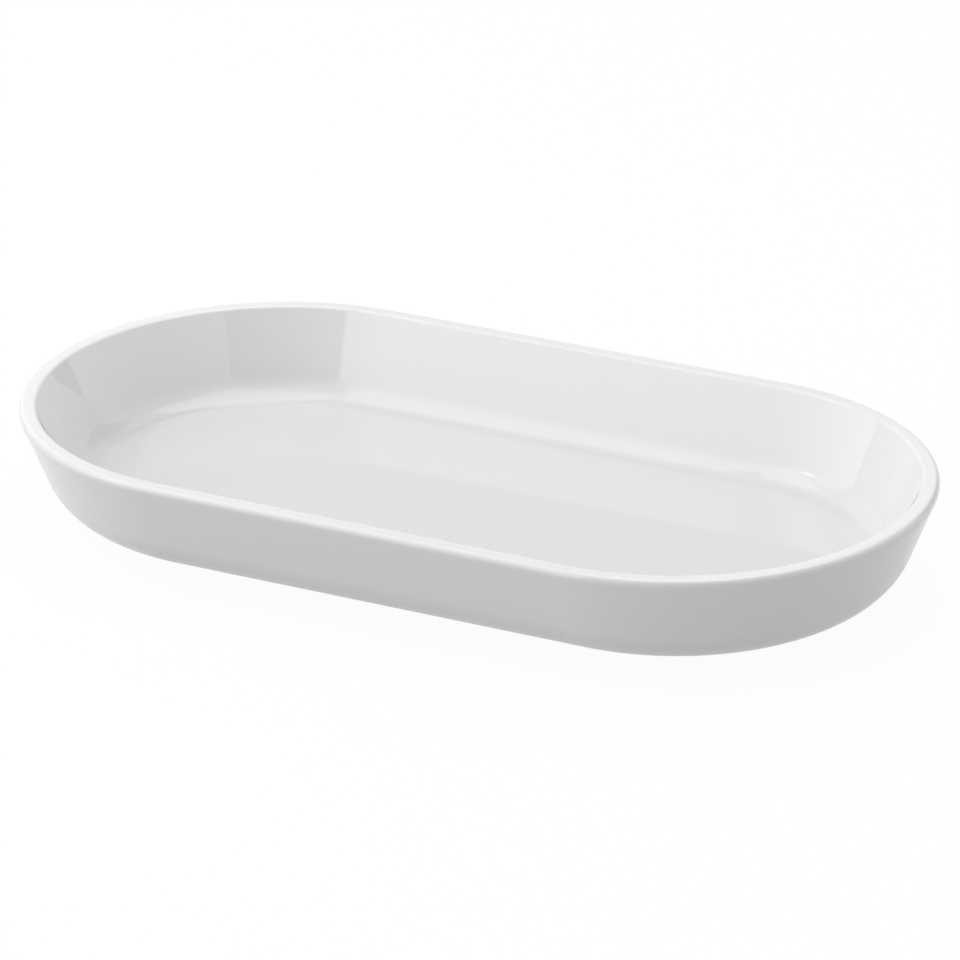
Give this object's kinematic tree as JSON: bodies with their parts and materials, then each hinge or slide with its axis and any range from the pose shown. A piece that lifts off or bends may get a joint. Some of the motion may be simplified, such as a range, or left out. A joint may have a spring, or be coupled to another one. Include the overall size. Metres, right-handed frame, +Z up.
{
  "type": "oval serving dish",
  "caption": "Low glazed porcelain serving dish with straight long sides, half-round ends, a leaning wall, a full-round rim and a bare foot ring, for serving or presenting food.",
  "frame": {"origin": "middle of the foot ring, on the surface that the dish stands on", "axes": "+X along the dish, +Y across it, +Z up out of the well"},
  "size_m": [0.24, 0.128, 0.029],
  "materials": {
    "bare_porcelain": "unglazed porcelain, fired dense and polished smooth on the foot, matte with a fine grain",
    "white_glaze": "clear gloss glaze over white porcelain, smooth, with a faint cool tint"
  },
  "bodies": {
    "root": {"porcelain_body": "bare_porcelain", "glaze_coat": "white_glaze", "base_glaze": "white_glaze"}
  },
  "joints": []
}
